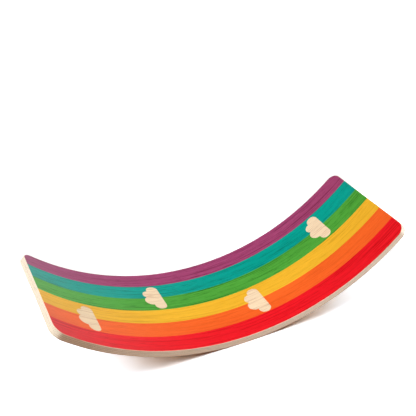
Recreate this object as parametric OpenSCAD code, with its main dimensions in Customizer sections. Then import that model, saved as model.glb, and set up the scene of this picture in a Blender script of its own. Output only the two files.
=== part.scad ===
// Curved balance board: nine plies bent over a mould and glued into one rocker, with a rainbow
// of six painted bands and four bare clouds on the concave face.
// Frame: +X along the board, +Y across it, +Z up. The origin is on the floor under the middle
// of the board, where the convex face rests.

/* [Board] */
// Width across the board
board_w = 300; // [220:1:400]
// Radius of the concave face, bare of paint
concave_r = 570; // [420:5:900]
// Angle from one end of the board to the other, in degrees
arc_deg = 90; // [60:1:110]
// Radius of the four corners
corner_r = 25; // [8:1:80]
// Width of the slope that eases the edges of both faces
ease_w = 1.2; // [0.4:0.1:3]

/* [Plies] */
// Thickness of the face veneer and of the back veneer
veneer_t = 1.5; // [0.8:0.1:3]
// Thickness of one core ply
core_t = 1.6; // [1:0.1:3]
// Number of core plies between the two veneers
core_count = 7; // [3:2:11]
// Thickness of one glue line
glue_t = 0.1; // [0.05:0.05:0.3]

/* [Paint] */
// Thickness of the paint film
paint_t = 0.2; // [0.1:0.05:0.4]
// Paint left between a cloud and the bands on either side of its own two
cloud_gap = 4.6; // [1:0.1:15]
// Height of a cloud from its flat side to its highest bump
cloud_h = 45; // [34:1:70]
// Height of the long round bar at the foot of a cloud
cloud_bar_h = 28; // [16:1:32]

/* [Hidden] */
// Bands from the far edge to the near edge
band_names = ["purple", "teal", "green", "yellow", "orange", "red"];
band_colours = [
    [0.60, 0.22, 0.42],
    [0.05, 0.61, 0.56],
    [0.31, 0.66, 0.23],
    [0.97, 0.74, 0.18],
    [0.99, 0.43, 0.17],
    [0.93, 0.10, 0.16]
];
birch = [0.94, 0.84, 0.72];
long_grain = [0.90, 0.78, 0.64];
cross_grain = [0.78, 0.63, 0.47];
glue_brown = [0.50, 0.36, 0.24];

// Flat side of each cloud along half of the arc
cloud_along_shares = [-0.272, 0.738, -0.711, 0.21];
// Line between two bands that each cloud lies over, counted from the far edge
cloud_lines = [2, 2, 4, 4];
// Drift of each cloud off its line, over the gap that it leaves
cloud_drift_shares = [0, 0, -0.7, -0.7];
// Two bumps of a cloud: place over its length, then reach and radius over its height
cloud_bump_shares = [[0.17, 0.945, 0.31], [-0.11, 1, 0.375]];

// Set-in of the axis of a corner's eased edge, over the corner radius, so that it meets its neighbours
cut_axis_share = 0.05;
// Depth by which a cutter or a blank runs past what it cuts
overrun = 2;

ply_step = core_t + glue_t;
core_r = concave_r + veneer_t;
convex_r = core_r + core_count * ply_step + glue_t + veneer_t;
half_deg = arc_deg / 2;
overrun_deg = overrun / concave_r * 180 / PI;
ease = min(ease_w, veneer_t);
painted_w = board_w - 2 * ease;
band_count = len(band_names);
band_w = painted_w / band_count;
cloud_w = 2 * (band_w - cloud_gap);
// Reach of an outline that covers the whole board from either end
reach = 2 * convex_r;

// Middle of a cloud across the board
function cloud_y(i) = painted_w / 2 - cloud_lines[i] * band_w + cloud_drift_shares[i] * cloud_gap;

$fn = 180;

// Moves children to a place on the arc: +X along the board, +Z towards the centre of the curve
module on_arc(r, deg) {
    translate([0, 0, convex_r])
        rotate([0, -deg, 0])
            translate([0, 0, -r])
                children();
}

// Copies children into both halves of the board along one axis
module both(axis) {
    children();
    mirror(axis) children();
}

// Bends a section, drawn as radius and place across the board, along the arc and past both ends
module bend() {
    translate([0, 0, convex_r])
        rotate([-90, 0, 0])
            rotate([0, 0, 90 - half_deg - overrun_deg])
                rotate_extrude(angle = arc_deg + 2 * overrun_deg)
                    children();
}

// Outline of the board from its right end leftwards, drawn in by inset from every edge
module end_outline(inset) {
    end_r = corner_r - inset;
    half_w = board_w / 2 - inset;
    translate([-reach, -half_w])
        square([reach - inset - end_r, 2 * half_w]);
    translate([-inset - 2 * end_r, end_r - half_w])
        square([2 * end_r, 2 * (half_w - end_r)]);
    for (side = [-1, 1])
        translate([-inset - end_r, side * (half_w - end_r)])
            circle(end_r);
}

// Right end of the board inside that outline, cut square to the end of the curve
module end_prism(inset) {
    on_arc(concave_r, half_deg)
        translate([0, 0, -reach])
            linear_extrude(2 * reach)
                end_outline(inset);
}

// Trims children to the board's outline at both ends and both sides
module trim(inset) {
    intersection() {
        children();
        end_prism(inset);
        mirror([1, 0, 0]) end_prism(inset);
    }
}

// One layer of the board between two radii
module layer(r_in, r_out) {
    trim(0)
        bend()
            translate([r_in, -board_w / 2 - overrun])
                square([r_out - r_in, board_w + 2 * overrun]);
}

// Section that cuts an edge back by ease: the edge is at the origin, its face looks towards +Y
module ease_section() {
    polygon([
        [-ease - overrun, overrun],
        [overrun, overrun],
        [overrun, -ease - overrun]
    ]);
}

// Cut along the far long edge of a face; turned is 1 on the convex face
module long_cut(face_r, turned) {
    bend()
        translate([face_r, board_w / 2])
            mirror([turned, 0])
                rotate(90)
                    ease_section();
}

// Cut along the right end of a face
module end_cut(face_r, turned) {
    on_arc(face_r, half_deg)
        mirror([0, 0, turned])
            rotate([90, 0, 0])
                translate([0, 0, -board_w / 2])
                    linear_extrude(board_w)
                        ease_section();
}

// Cut round the far right corner of a face. It turns about an axis set in from the corner's own,
// and its plane meets the face at both ends of the corner.
module corner_cut(face_r, turned) {
    set_in = cut_axis_share * corner_r;
    chord_deg = asin(corner_r / face_r) / 2;
    on_arc(face_r, half_deg)
        rotate([0, chord_deg, 0])
            mirror([0, 0, turned])
                translate([-corner_r - set_in, board_w / 2 - corner_r - set_in, 0])
                    rotate_extrude(angle = 90)
                        translate([corner_r + sqrt(2) * set_in, 0])
                            ease_section();
}

// Eases every edge of one face of children: long edges first, then ends, then corners
module eased(face_r, turned) {
    difference() {
        difference() {
            difference() {
                children();
                both([0, 1, 0]) long_cut(face_r, turned);
            }
            both([1, 0, 0]) end_cut(face_r, turned);
        }
        both([1, 0, 0]) both([0, 1, 0]) corner_cut(face_r, turned);
    }
}

module face_veneer() {
    color(birch)
        eased(concave_r, 0)
            layer(concave_r, core_r);
}

module back_veneer() {
    color(birch)
        eased(convex_r, 1)
            layer(convex_r - veneer_t, convex_r);
}

// Core plies are counted from the concave face, and every second one has its grain across
module core_ply(i) {
    r_in = core_r + glue_t + (i - 1) * ply_step;
    color(i % 2 == 1 ? cross_grain : long_grain)
        layer(r_in, r_in + core_t);
}

module glue_line(i) {
    r_in = core_r + (i - 1) * ply_step;
    color(glue_brown)
        layer(r_in, r_in + glue_t);
}

// A cloud lying on its flat side along Y, with its bumps towards -X
module cloud() {
    bar_r = cloud_bar_h / 2;
    bar_w = cloud_w - cloud_bar_h;
    translate([-cloud_bar_h, -bar_w / 2])
        square([cloud_bar_h, bar_w]);
    for (side = [-1, 1])
        translate([-bar_r, side * bar_w / 2])
            circle(bar_r);
    for (bump = cloud_bump_shares)
        translate([(bump[2] - bump[1]) * cloud_h, bump[0] * cloud_w])
            circle(bump[2] * cloud_h);
}

module cloud_windows() {
    for (i = [0:len(cloud_lines) - 1])
        on_arc(concave_r, cloud_along_shares[i] * half_deg)
            translate([0, cloud_y(i), -cloud_h])
                linear_extrude(2 * cloud_h)
                    cloud();
}

// Paint bands are counted from the far edge; the outer two run past the edge and are trimmed
module band(i) {
    far = painted_w / 2 - i * band_w + (i == 0 ? overrun : 0);
    near = painted_w / 2 - (i + 1) * band_w - (i == band_count - 1 ? overrun : 0);
    color(band_colours[i])
        difference() {
            trim(ease)
                bend()
                    translate([concave_r - paint_t, near])
                        square([paint_t, far - near]);
            cloud_windows();
        }
}

face_veneer();
for (i = [1:core_count])
    core_ply(i);
back_veneer();
for (i = [1:core_count + 1])
    glue_line(i);
for (i = [0:band_count - 1])
    band(i);
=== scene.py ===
# Looks of the curved balance board: bare birch, layered edges and a rainbow of matt paint.
# Frame: metres, +X along the board, +Y across it, +Z up. The board rests on the floor at the origin.
import math

import bmesh
import bpy
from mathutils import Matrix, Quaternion, Vector
from mathutils.geometry import delaunay_2d_cdt

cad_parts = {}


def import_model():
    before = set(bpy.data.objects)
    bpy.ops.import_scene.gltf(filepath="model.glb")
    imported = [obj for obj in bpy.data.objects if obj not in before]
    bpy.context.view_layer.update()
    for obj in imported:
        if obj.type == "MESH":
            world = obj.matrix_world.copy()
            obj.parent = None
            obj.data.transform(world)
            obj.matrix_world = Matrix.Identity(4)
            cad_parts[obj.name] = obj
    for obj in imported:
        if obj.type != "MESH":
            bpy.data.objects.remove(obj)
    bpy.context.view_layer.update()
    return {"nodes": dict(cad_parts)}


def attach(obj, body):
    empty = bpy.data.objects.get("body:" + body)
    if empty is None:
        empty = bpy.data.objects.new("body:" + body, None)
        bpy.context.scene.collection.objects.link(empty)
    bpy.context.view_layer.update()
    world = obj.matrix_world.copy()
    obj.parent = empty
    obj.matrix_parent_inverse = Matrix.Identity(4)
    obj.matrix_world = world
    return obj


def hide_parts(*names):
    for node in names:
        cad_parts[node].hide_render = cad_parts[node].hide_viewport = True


# Board: the same driving sizes as the solids have
CONCAVE_R = 0.570
CONVEX_R = 0.585
HALF_ARC = math.radians(45)
HALF_W = 0.150
CORNER_R = 0.025
VENEER_T = 0.0015
EASE = 0.0012
CORE_PLIES = 7
# Width of the strip along the rim where the paint wears
WORN_W = 0.0025

# Paint: six equal bands from the far edge to the near edge, which reach a little over the eased edge.
# Each has its levels in plain light, and how strongly the wood's grain shows through it.
PAINT_T = 0.0002
PAINT_INSET = 0.0008
BANDS = {
    "purple": ((167, 71, 116), 0.8),
    "teal": ((0, 163, 148), 0.8),
    "green": ((84, 169, 62), 0.95),
    "yellow": ((246, 188, 51), 0.45),
    "orange": ((249, 106, 40), 0.35),
    "red": ((241, 27, 40), 0.75),
}
PAINTED_HALF_W = HALF_W - EASE
BAND_W = 2 * PAINTED_HALF_W / len(BANDS)

# Clouds: round bars with two bumps, left bare
CLOUD_GAP = 0.0046
CLOUD_W = 2 * (BAND_W - CLOUD_GAP)
CLOUD_H = 0.045
CLOUD_BAR_R = 0.014
# Two bumps: place over the cloud's length, then reach and radius over its height
CLOUD_BUMPS = ((0.17, 0.945, 0.31), (-0.11, 1, 0.375))
# Each cloud: flat side over half of the arc, line between bands that it lies over, drift over its gap
CLOUDS = ((-0.272, 2, 0), (0.738, 2, 0), (-0.711, 4, -0.7), (0.21, 4, -0.7))

# Wood and glue, as they look in plain light, but for the painted shade and light noted below
BIRCH = (245, 219, 184)
BIRCH_GRAIN = (188, 134, 88)
# Cut ends of the board: pale end grain, made paler still as painted light for the strong light on the ends;
# the cores' ends there share it
BIRCH_END_AND_PAINTED_LIGHT = (251, 237, 215)
# Long edges: darker wood of the cut edges, made darker still as painted shade for edges that face away from
# the high lamps
LONG_GRAIN_AND_SHADE = (220, 196, 173)
LONG_END = BIRCH_END_AND_PAINTED_LIGHT
CROSS_GRAIN = BIRCH_END_AND_PAINTED_LIGHT
# Cut ends of the cross plies, seen on the long edges: darker end grain, and in part painted shade
CROSS_END_AND_SHADE = (199, 171, 146)
GLUE = (150, 120, 95)
# Marks of each kind: length along the fibres, width across them, and a seed that sets their noise apart
TONE_MARKS = (0.30, 0.020, 1.3)
FIBRE_MARKS = (0.015, 0.0013, 3.1)
LINE_MARKS = (0.20, 0.0023, 7.7)
HAIR_MARKS = (0.05, 0.0016, 9.4)
WORN_MARKS = (0.015, 0.005, 4.6)
GLUE_MARKS = (0.012, 0.006, 5.2)
# Most that the fibres sway sideways, and the number of sways in a metre
SWAY = 0.012
SWAYS_PER_METRE = 5.0
# Relief of the fibres, which the paint takes on, and of the glue
FIBRE_RELIEF = 0.0001
GLUE_RELIEF = 0.00005

# Fineness of the meshes
MIDDLE_STEPS = 128
CORNER_STEPS = 12
COLUMNS = 8
ROUND_STEPS = 5
ARC_STEP = math.radians(7)
SHARP = math.radians(35)
# Flat meshing of a band: the kind of result, with faces that a bmesh can take, and the gap that it closes
BMESH_FACES = 4
CLOSED_GAP = 1e-7

# Camera, fitted to the board's edges in the picture
LENS = 64.044
AZIMUTH = math.radians(-23.157)
ELEVATION = math.radians(30.423)
ROLL = math.radians(-2.180)
AIM = Vector((-0.016593, 0, 0.267366))
DISTANCE = 1.60294

# Stage: a white floor with painted light and a painted shadow near the board, a soft lamp high on either
# side, a spot low in front and a weak lamp at the left end
WHITE = (1, 1, 1, 1)
FLOOR_HALF = 30
# Colour of the floor to the camera: painted light that makes it brighter than white beside the board, a
# painted shadow where board and floor meet, painted light that tints the ends of the shadow, and painted
# light past the right end of the board that washes out its shadow there. Far off it is white.
FLOOR_NEAR_PAINTED_LIGHT = (1.42, 1.42, 1.45, 1)
FLOOR_PAINTED_SHADOW = (0.58, 0.3, 0.19, 1)
FLOOR_TAIL_PAINTED_LIGHT = (1.5, 1.7, 1.92, 1)
FLOOR_PAST_PAINTED_LIGHT = (1.85, 1.95, 2.05, 1)
# Colour of the floor as it lights the board
FLOOR_BOUNCE = (0.64, 0.49, 0.38, 1)
# Places across the board between which the painted light near the board goes over into white, and how fast
# they move out along it
NEAR_START = 0.12
NEAR_STOP = 0.18
NEAR_SLOPE = 0.3
# Places along the board between which the painted shadow where board and floor meet ends and the painted
# light of tail and past sets in
UNDER_START = 0.08
UNDER_STOP = 0.17
TAIL_START = 0.17
TAIL_STOP = 0.27
PAST_START = 0.36
PAST_STOP = 0.46
# Distances in under the board between which the painted shadow turns the floor dark, over the board's height
# above it
UNDER_OPEN = 0.1
UNDER_SHUT = 0.9
# Strength of the light from all round
AMBIENT = 0.03
# Heights of a direction between which the background that a gloss sees goes from white to dim
GLOSS_FOOT = 0.1
GLOSS_TOP = 0.5
# The two lamps high on either side
LEFT_FROM = Vector((-0.95, -0.1, 1))
LEFT_STRENGTH = 2.68
RIGHT_FROM = Vector((1, -0.1, 1))
RIGHT_STRENGTH = 1.93
HIGH_ANGLE = math.radians(35)
# The spot in front, whose cone ends short of the left end, and the lamp at that end
FRONT_FROM = Vector((0.58, -0.95, 0.04))
FRONT_AT = Vector((0.2, -0.15, 0.08))
FRONT_POWER = 19.5
FRONT_TINT = (0.8, 1, 1.2)
FRONT_CONE = math.radians(49)
FRONT_BLEND = 0.3
FRONT_RADIUS = 0.035
END_FROM = Vector((-0.85, -0.05, 0.6))
END_AT = Vector((-0.41, 0, 0.18))
END_POWER = 0.35
END_SIZE = 0.07


def linear(levels):
    """Linear colour of red, green and blue levels from 0 to 255."""
    shares = [level / 255 for level in levels]
    return tuple(s / 12.92 if s <= 0.04045 else ((s + 0.055) / 1.055) ** 2.4 for s in shares)


def shade(levels, factor, depth=1.0):
    """Colour with alpha of some levels, made darker or lighter; more depth makes it more saturated."""
    return tuple(min(1, factor * c ** depth) for c in linear(levels)) + (1,)


# Shapes

def on_arc(radius, angle, across):
    """A point at a radius of the bend, an angle from its middle and a place across the board."""
    return Vector((radius * math.sin(angle), across, CONVEX_R - radius * math.cos(angle)))


def rows(radius, inset):
    """Angle and half width of each row across the board, from the left end to the right end."""
    end = []
    corner = CORNER_R - inset
    for step in range(CORNER_STEPS + 1):
        turn = math.pi / 2 * step / CORNER_STEPS
        from_end = inset + corner * (1 - math.cos(turn))
        half = HALF_W - CORNER_R + corner * math.sin(turn)
        end.append((HALF_ARC - math.asin(from_end / radius), half))
    reach, half = end[-1]
    middle = [(reach * (2 * step / MIDDLE_STEPS - 1), half) for step in range(1, MIDDLE_STEPS)]
    return [(-angle, half) for angle, half in end] + middle + end[::-1]


def grid(radius, inset):
    """Points of one bent surface, row by row."""
    shares = [2 * column / COLUMNS - 1 for column in range(COLUMNS + 1)]
    return [[on_arc(radius, angle, half * share) for share in shares] for angle, half in rows(radius, inset)]


def border(cells):
    """Everything on the border of a grid, once round it."""
    near = [row[0] for row in cells[:-1]]
    far = [row[-1] for row in cells[:0:-1]]
    return near + cells[-1][:-1] + far + cells[0][:0:-1]


def piece(name, mesh, material, node):
    """Makes a finished mesh a piece of the board that stands for one solid."""
    bmesh.ops.recalc_face_normals(mesh, faces=mesh.faces)
    for face in mesh.faces:
        face.smooth = True
    for edge in mesh.edges:
        edge.smooth = edge.calc_face_angle(0) < SHARP
    data = bpy.data.meshes.new(name)
    mesh.to_mesh(data)
    mesh.free()
    made = bpy.data.objects.new(name, data)
    bpy.context.scene.collection.objects.link(made)
    data.materials.append(material)
    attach(made, "root")
    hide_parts(node)


def bent_sheet(profile):
    """A closed bent sheet. Its edge is a list of radius and inset, from the convex to the concave side."""
    mesh = bmesh.new()
    rings = []
    for place, (radius, inset) in enumerate(profile):
        points = grid(radius, inset)
        if place in (0, len(profile) - 1):
            cells = [[mesh.verts.new(point) for point in row] for row in points]
            for low, high in zip(cells, cells[1:]):
                for column in range(COLUMNS):
                    mesh.faces.new((low[column], low[column + 1], high[column + 1], high[column]))
            rings.append(border(cells))
        else:
            rings.append([mesh.verts.new(point) for point in border(points)])
    for low, high in zip(rings, rings[1:]):
        for place in range(len(low)):
            mesh.faces.new((low[place - 1], low[place], high[place], high[place - 1]))
    return mesh


def veneer(face_r, towards_core):
    """A veneer with a rounded edge on its outer face; towards_core is 1 if its core lies at larger radii."""
    profile = [(face_r + towards_core * VENEER_T, 0)]
    for step in range(ROUND_STEPS + 1):
        turn = math.pi / 2 * step / ROUND_STEPS
        depth = EASE * (1 - math.sin(turn))
        profile.append((face_r + towards_core * depth, EASE * (1 - math.cos(turn))))
    return bent_sheet(profile)


def arc(centre, radius, start, stop):
    """Points along an arc of an outline, as pairs."""
    count = max(2, round(abs(stop - start) / ARC_STEP))
    turns = [start + (stop - start) * step / count for step in range(count + 1)]
    return [(centre[0] + radius * math.cos(turn), centre[1] + radius * math.sin(turn)) for turn in turns]


def cloud():
    """Outline of a cloud: distance from its flat side towards its bumps, and place along that side."""
    bar_end = CLOUD_W / 2 - CLOUD_BAR_R
    quarter = math.pi / 2
    circles = []
    for place, reach, radius in CLOUD_BUMPS:
        circles.append(((reach - radius) * CLOUD_H, place * CLOUD_W, radius * CLOUD_H))
    (x1, y1, r1), (x2, y2, r2) = circles
    # Crossing of the two bumps
    gap = math.hypot(x2 - x1, y2 - y1)
    share = (gap * gap + r1 * r1 - r2 * r2) / (2 * gap)
    lean = math.atan2(y2 - y1, x2 - x1)
    turn_1 = lean + math.acos(share / r1)
    turn_2 = lean + math.pi - math.acos((gap - share) / r2)
    # Crossings of the bumps with the top of the bar
    rise_1 = quarter + math.asin((x1 - 2 * CLOUD_BAR_R) / r1)
    rise_2 = -quarter - math.asin((x2 - 2 * CLOUD_BAR_R) / r2)
    return (
        arc((CLOUD_BAR_R, bar_end), CLOUD_BAR_R, math.pi, 0)
        + arc((x1, y1), r1, rise_1, turn_1)
        + arc((x2, y2), r2, turn_2, rise_2)
        + arc((CLOUD_BAR_R, -bar_end), CLOUD_BAR_R, 0, -math.pi)
    )


def cloud_on_board(along_share, line, drift):
    """Outline of one cloud, as arc length and place across the board."""
    start = along_share * HALF_ARC
    middle = PAINTED_HALF_W - line * BAND_W + drift * CLOUD_GAP
    outline = []
    for reach, across in cloud():
        outline.append(Vector((CONCAVE_R * (start - math.asin(reach / CONCAVE_R)), middle + across)))
    return outline


def flat_band(far, near):
    """Points and cells of one band laid flat between two places across the board, with cloud windows."""
    lines = []
    for angle, half in rows(CONCAVE_R, PAINT_INSET):
        lines.append((CONCAVE_R * angle, max(near, -half), min(far, half)))
    outline = [Vector((along, low)) for along, low, high in lines]
    outline += [Vector((along, high)) for along, low, high in reversed(lines)]
    edges = [(row, len(outline) - 1 - row) for row in range(len(lines))]
    points = list(outline)
    loops = [list(range(len(outline)))]
    for place in CLOUDS:
        window = cloud_on_board(*place)
        loops.append(list(range(len(points), len(points) + len(window))))
        points += window
    flat, _, cells, _, _, sources = delaunay_2d_cdt(points, edges, loops, BMESH_FACES, CLOSED_GAP)
    return flat, [cell for cell, source in zip(cells, sources) if source == [0]]


def paint_film(far, near):
    """A closed film of paint, bent to the board, between two places across it."""
    flat, cells = flat_band(far, near)
    mesh = bmesh.new()
    used = sorted({corner for cell in cells for corner in cell})
    sides = []
    for radius in (CONCAVE_R, CONCAVE_R - PAINT_T):
        side = {}
        for corner in used:
            along, across = flat[corner]
            side[corner] = mesh.verts.new(on_arc(radius, along / CONCAVE_R, across))
        for cell in cells:
            mesh.faces.new([side[corner] for corner in cell])
        sides.append(side)
    under, over = sides
    rims = [edge for edge in mesh.edges if edge.is_boundary]
    names = {vert: corner for corner, vert in under.items()}
    for edge in rims:
        if edge.verts[0] in names:
            a, b = (names[vert] for vert in edge.verts)
            mesh.faces.new((under[a], under[b], over[b], over[a]))
    return mesh


# Materials

class Nodes:
    """A node tree, with a short way to add to it."""

    def __init__(self, tree):
        self.tree = tree

    def feed(self, socket, value):
        """Links an output to a socket, or sets the socket's own value."""
        if isinstance(value, bpy.types.NodeSocket):
            self.tree.links.new(value, socket)
        else:
            socket.default_value = value

    def add(self, kind, inputs, output=0, **settings):
        """Adds a node with its inputs and settings, and gives one of its outputs."""
        node = self.tree.nodes.new("ShaderNode" + kind)
        for key, value in settings.items():
            setattr(node, key, value)
        for key, value in inputs.items():
            self.feed(node.inputs[key], value)
        return node.outputs[output]

    def maths(self, operation, first, second=0.0):
        """Result of an operation on one or two values."""
        return self.add("Math", {0: first, 1: second}, operation=operation)

    def mix(self, share, first, second):
        """Colour between the first, at share 0, and the second; 6, 7 and 2 are the node's colour sockets."""
        return self.add("Mix", {"Factor": share, 6: first, 7: second}, 2, data_type="RGBA")

    def ramp(self, value, low, high, top=1.0):
        """Value from low to high as 0 to top, smooth at both ends."""
        ends = {"Value": value, "From Min": low, "From Max": high, "To Max": top}
        return self.add("MapRange", ends, interpolation_type="SMOOTHSTEP")


class Shader(Nodes):
    """A material's nodes, round its principled shader."""

    def __init__(self, name):
        self.material = bpy.data.materials.new(name)
        self.material.use_nodes = True
        super().__init__(self.material.node_tree)
        self.surface = self.tree.nodes["Principled BSDF"]

    def finish(self, colour, roughness, relief, relief_height):
        """Feeds the shader and gives the material; the height of the relief is in metres."""
        self.feed(self.surface.inputs["Base Color"], colour)
        self.feed(self.surface.inputs["Roughness"], roughness)
        bump = self.add("Bump", {"Height": relief, "Strength": 1.0, "Distance": relief_height})
        self.feed(self.surface.inputs["Normal"], bump)
        return self.material


def board_place(shader):
    """Metres along the arc, across the board and down from the concave face, and the angle of the arc."""
    point = shader.add("TexCoord", {}, "Object")
    split = shader.add("SeparateXYZ", {"Vector": point}).node
    x, y, z = split.outputs
    up = shader.maths("SUBTRACT", CONVEX_R, z)
    angle = shader.maths("ARCTAN2", x, up)
    along = shader.maths("MULTIPLY", angle, CONCAVE_R)
    spoke = shader.add("CombineXYZ", {"X": x, "Z": up})
    radius = shader.add("VectorMath", {0: spoke}, "Value", operation="LENGTH")
    down = shader.maths("SUBTRACT", radius, CONCAVE_R)
    return along, y, down, angle


def fibre_place(shader, along, across, down):
    """Place in the wood, with the fibres swaying a little from side to side."""
    slow = shader.add("CombineXYZ", {"X": along, "Y": across})
    noise = {"Vector": slow, "Scale": SWAYS_PER_METRE, "Detail": 1.0}
    sway = shader.maths("MULTIPLY", shader.add("TexNoise", noise), SWAY)
    return shader.add("CombineXYZ", {"X": along, "Y": shader.maths("ADD", across, sway), "Z": down})


def fibres(shader, place, length, width, seed):
    """Noise from 0 to 1 that is drawn out along the wood's fibres."""
    scale = (1 / length, 1 / width, 1 / width)
    drawn = shader.add("Mapping", {"Vector": place, "Location": (seed, seed, seed), "Scale": scale})
    return shader.add("TexNoise", {"Vector": drawn, "Scale": 1.0, "Detail": 2.0, "Roughness": 0.6})


def worn_rim(shader, along, across, place):
    """Patches along the rim of the board that hands and floors have rubbed."""
    spot = shader.add("CombineXYZ", {"X": along, "Y": across})
    inner = (CONCAVE_R * HALF_ARC - CORNER_R, HALF_W - CORNER_R, 0)
    spot = shader.add("VectorMath", {0: spot}, operation="ABSOLUTE")
    spot = shader.add("VectorMath", {0: spot, 1: inner}, operation="SUBTRACT")
    spot = shader.add("VectorMath", {0: spot, 1: (0, 0, 0)}, operation="MAXIMUM")
    out = shader.add("VectorMath", {0: spot}, "Value", operation="LENGTH")
    rim = shader.ramp(out, CORNER_R - WORN_W, CORNER_R)
    patches = shader.ramp(fibres(shader, place, *WORN_MARKS), 0.4, 0.65)
    return shader.maths("MULTIPLY", rim, patches)


def grain(shader, place):
    """Broad tone, fine fibres and thin dark lines of the veneer, which the paint lets through."""
    tone = shader.ramp(fibres(shader, place, *TONE_MARKS), 0.3, 0.7)
    fine = fibres(shader, place, *FIBRE_MARKS)
    lines = shader.ramp(fibres(shader, place, *LINE_MARKS), 0.56, 0.66, 0.9)
    hairs = shader.ramp(fibres(shader, place, *HAIR_MARKS), 0.59, 0.69, 0.9)
    return tone, fine, shader.maths("MAXIMUM", lines, hairs)


def paint(name, levels, grain_share):
    """Matt paint on birch: the wood shows through it, darker at its lines and paler where paint is thin."""
    shader = Shader(name + "_on_birch")
    along, across, _, _ = board_place(shader)
    place = fibre_place(shader, along, across, 0.0)
    tone, fine, lines = grain(shader, place)
    colour = shader.mix(tone, shade(levels, 0.94, 1.03), shade(levels, 1.02))
    colour = shader.mix(shader.ramp(fine, 0.65, 0.3, 0.003), colour, shade(BIRCH, 1))
    colour = shader.mix(shader.ramp(fine, 0.4, 0.75, 0.7), colour, shade(levels, 0.9, 1.15))
    colour = shader.mix(shader.maths("MULTIPLY", lines, grain_share), colour, shade(levels, 0.55, 1.8))
    worn = worn_rim(shader, along, across, place)
    colour = shader.mix(shader.maths("MULTIPLY", worn, 0.4), colour, shade(BIRCH, 1))
    roughness = shader.add("MapRange", {"Value": fine, "To Min": 0.32, "To Max": 0.52})
    shader.surface.inputs["Specular IOR Level"].default_value = 0.28
    return shader.finish(colour, roughness, fine, FIBRE_RELIEF)


def wood(name, face, edge, end, line_share, fibres_across=False):
    """Birch in its colours for faces, for long edges and, with pores, where its fibres are cut across; the
    edge and cut colours given are in part painted shade and light.
    """
    shader = Shader(name)
    along, across, down, angle = board_place(shader)
    normal = shader.add("TexCoord", {}, "Normal")
    # Squareness of the cut through the fibres, from a first touch of the end colour to all of it
    if fibres_across:
        place = fibre_place(shader, across, along, down)
        direction = (0, 1, 0)
        touch, full = 0.84, 0.99
    else:
        place = fibre_place(shader, along, across, down)
        cosine = shader.maths("COSINE", angle)
        direction = shader.add("CombineXYZ", {"X": cosine, "Z": shader.maths("SINE", angle)})
        touch, full = 0.15, 0.55
    facing = shader.add("VectorMath", {0: normal, 1: direction}, "Value", operation="DOT_PRODUCT")
    cut = shader.ramp(shader.maths("ABSOLUTE", facing), touch, full)
    # Long edges take the edge colour: darker wood, and in part painted shade
    sideways = shader.add("SeparateXYZ", {"Vector": normal}, "Y")
    long_edge_and_shade = shader.ramp(shader.maths("ABSOLUTE", sideways), 0.1, 0.5)
    tone, fine, lines = grain(shader, place)
    deep = shader.mix(long_edge_and_shade, shade(face, 0.97), shade(edge, 0.97))
    pale = shader.mix(long_edge_and_shade, shade(face, 1.03), shade(edge, 1.03))
    colour = shader.mix(tone, deep, pale)
    colour = shader.mix(shader.ramp(fine, 0.4, 0.8, 0.15), colour, shade(BIRCH_GRAIN, 1))
    colour = shader.mix(shader.maths("MULTIPLY", lines, line_share), colour, shade(BIRCH_GRAIN, 1))
    pores = shader.mix(shader.ramp(fine, 0.4, 0.75), shade(end, 1.01), shade(end, 0.95))
    colour = shader.mix(cut, colour, pores)
    roughness = shader.add("MapRange", {"Value": fine, "To Min": 0.4, "To Max": 0.7})
    shader.surface.inputs["Specular IOR Level"].default_value = 0.2
    return shader.finish(colour, roughness, fine, FIBRE_RELIEF)


def glue(name, levels):
    """Hard brown glue, lighter where it has soaked into the wood."""
    shader = Shader(name)
    along, across, down, _ = board_place(shader)
    place = shader.add("CombineXYZ", {"X": along, "Y": across, "Z": down})
    soaked = fibres(shader, place, *GLUE_MARKS)
    colour = shader.mix(shader.ramp(soaked, 0.35, 0.7), shade(levels, 0.8), shade(levels, 1.3))
    return shader.finish(colour, shader.ramp(soaked, 0.0, 1.0, 0.6), soaked, GLUE_RELIEF)


# Stage

def sight(nodes):
    """1 for rays from the camera, and 1 for rays by way of a gloss or glass."""
    path = nodes.tree.nodes.new("ShaderNodeLightPath").outputs
    return path["Is Camera Ray"], nodes.maths("MAXIMUM", path["Is Glossy Ray"], path["Is Transmission Ray"])


def floor_seen(shader):
    """Colour of the floor to the camera: white, brighter near the board as painted light, and dark where the
    two meet as a painted shadow.
    """
    place = shader.add("TexCoord", {}, "Object")
    right = shader.add("SeparateXYZ", {"Vector": place}, "X")
    from_middle = shader.add("VectorMath", {0: place}, operation="ABSOLUTE")
    along, across, _ = shader.add("SeparateXYZ", {"Vector": from_middle}).node.outputs
    # Painted light: the floor is brighter beside the board and past its right end, and tinted at the tails
    # of its shadow, washing out the shadow's edges
    colour = shader.mix(shader.ramp(along, TAIL_START, TAIL_STOP), FLOOR_NEAR_PAINTED_LIGHT, FLOOR_TAIL_PAINTED_LIGHT)
    colour = shader.mix(shader.ramp(right, PAST_START, PAST_STOP), colour, FLOOR_PAST_PAINTED_LIGHT)
    far_off = shader.maths("SUBTRACT", across, shader.maths("MULTIPLY", along, NEAR_SLOPE))
    colour = shader.mix(shader.ramp(far_off, NEAR_START, NEAR_STOP), colour, WHITE)
    # Painted shadow: the floor turns dark in under the board, where board and floor meet
    rise = shader.maths("DIVIDE", shader.maths("MULTIPLY", along, along), 2 * CONVEX_R)
    depth = shader.maths("DIVIDE", shader.maths("SUBTRACT", HALF_W, across), rise)
    shut = shader.ramp(depth, UNDER_OPEN, UNDER_SHUT)
    under = shader.maths("MULTIPLY", shut, shader.ramp(along, UNDER_STOP, UNDER_START))
    return shader.mix(under, colour, FLOOR_PAINTED_SHADOW)


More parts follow.
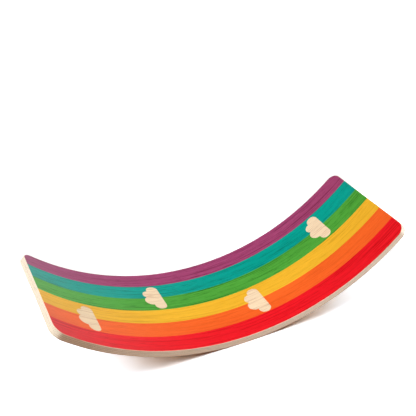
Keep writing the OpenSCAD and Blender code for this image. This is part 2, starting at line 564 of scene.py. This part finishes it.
def floor():
    """A wide white floor that keeps the board's shadow, with painted light and a painted shadow near the
    board.
    """
    mesh = bmesh.new()
    bmesh.ops.create_grid(mesh, x_segments=1, y_segments=1, size=FLOOR_HALF)
    data = bpy.data.meshes.new("floor")
    mesh.to_mesh(data)
    mesh.free()
    made = bpy.data.objects.new("floor", data)
    bpy.context.scene.collection.objects.link(made)
    shader = Shader("white_floor_with_painted_light_and_shade")
    camera_ray, gloss_ray = sight(shader)
    given_back = shader.mix(gloss_ray, FLOOR_BOUNCE, WHITE)
    matt = shader.add("BsdfDiffuse", {"Color": shader.mix(camera_ray, given_back, floor_seen(shader))})
    shader.feed(shader.tree.nodes["Material Output"].inputs["Surface"], matt)
    shader.tree.nodes.remove(shader.surface)
    data.materials.append(shader.material)


def world():
    """Weak light all round. The camera sees it white, and a gloss sees it white low down and dim above."""
    made = bpy.data.worlds.new("studio")
    bpy.context.scene.world = made
    made.use_nodes = True
    tree = made.node_tree
    background = tree.nodes["Background"]
    background.inputs["Color"].default_value = WHITE
    sky = Nodes(tree)
    camera_ray, gloss_ray = sight(sky)
    height = sky.add("SeparateXYZ", {"Vector": sky.add("TexCoord", {}, "Generated")}, "Z")
    low = sky.ramp(height, GLOSS_TOP, GLOSS_FOOT)
    seen = sky.maths("MAXIMUM", camera_ray, sky.maths("MULTIPLY", gloss_ray, low))
    sky.feed(background.inputs["Strength"], sky.maths("MAXIMUM", seen, AMBIENT))


def lamp(name, kind, origin, target, **settings):
    """A lamp at origin that shines towards target."""
    data = bpy.data.lights.new(name, kind)
    for key, value in settings.items():
        setattr(data, key, value)
    made = bpy.data.objects.new(name, data)
    made.location = origin
    made.rotation_mode = "QUATERNION"
    made.rotation_quaternion = (target - origin).to_track_quat("-Z", "Y")
    made.visible_glossy = False
    made.visible_camera = False
    bpy.context.scene.collection.objects.link(made)


def camera():
    """The camera, at the picture's place and viewing angle."""
    data = bpy.data.cameras.new("camera")
    data.lens = LENS
    made = bpy.data.objects.new("camera", data)
    level = math.cos(ELEVATION)
    back = Vector((math.sin(AZIMUTH) * level, -math.cos(AZIMUTH) * level, math.sin(ELEVATION)))
    made.location = AIM + back * DISTANCE
    made.rotation_mode = "QUATERNION"
    made.rotation_quaternion = (-back).to_track_quat("-Z", "Y") @ Quaternion((0, 0, 1), ROLL)
    bpy.context.scene.collection.objects.link(made)
    bpy.context.scene.camera = made


# The board on its stage

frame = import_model()
nodes = frame["nodes"]

face_birch = wood("face_birch", BIRCH, LONG_GRAIN_AND_SHADE, BIRCH_END_AND_PAINTED_LIGHT, line_share=0.7)
back_birch = wood("back_birch", BIRCH, LONG_GRAIN_AND_SHADE, BIRCH_END_AND_PAINTED_LIGHT, line_share=0.35)
piece("face_veneer_sheet", veneer(CONCAVE_R, 1), face_birch, "face_veneer")
piece("back_veneer_sheet", veneer(CONVEX_R, -1), back_birch, "back_veneer")

# Core plies are counted from the concave face, and the odd ones have their grain across the board
core_woods = (
    wood("long_grain_core", LONG_GRAIN_AND_SHADE, LONG_GRAIN_AND_SHADE, LONG_END, line_share=0.3),
    wood("cross_grain_core", CROSS_GRAIN, CROSS_GRAIN, CROSS_END_AND_SHADE, line_share=0.3, fibres_across=True),
)
for number in range(1, CORE_PLIES + 1):
    nodes[f"core_ply_{number}"].material_slots[0].material = core_woods[number % 2]

hard_glue = glue("hard_glue", GLUE)
for number in range(1, CORE_PLIES + 2):
    nodes[f"glue_line_{number}"].material_slots[0].material = hard_glue

for number, (name, (levels, grain_share)) in enumerate(BANDS.items()):
    line = PAINTED_HALF_W - number * BAND_W
    far = HALF_W if number == 0 else line
    near = -HALF_W if number == len(BANDS) - 1 else line - BAND_W
    film = paint_film(far, near)
    coat = paint(name, levels, grain_share)
    piece(name + "_film", film, coat, name + "_band")

floor()
world()
lamp("left", "SUN", LEFT_FROM, Vector(), energy=LEFT_STRENGTH, angle=HIGH_ANGLE)
lamp("right", "SUN", RIGHT_FROM, Vector(), energy=RIGHT_STRENGTH, angle=HIGH_ANGLE)
cone = {"spot_size": FRONT_CONE, "spot_blend": FRONT_BLEND, "shadow_soft_size": FRONT_RADIUS}
lamp("front", "SPOT", FRONT_FROM, FRONT_AT, energy=FRONT_POWER, color=FRONT_TINT, **cone)
lamp("end", "AREA", END_FROM, END_AT, energy=END_POWER, size=END_SIZE)
camera()
bpy.context.scene.view_settings.view_transform = "Standard"
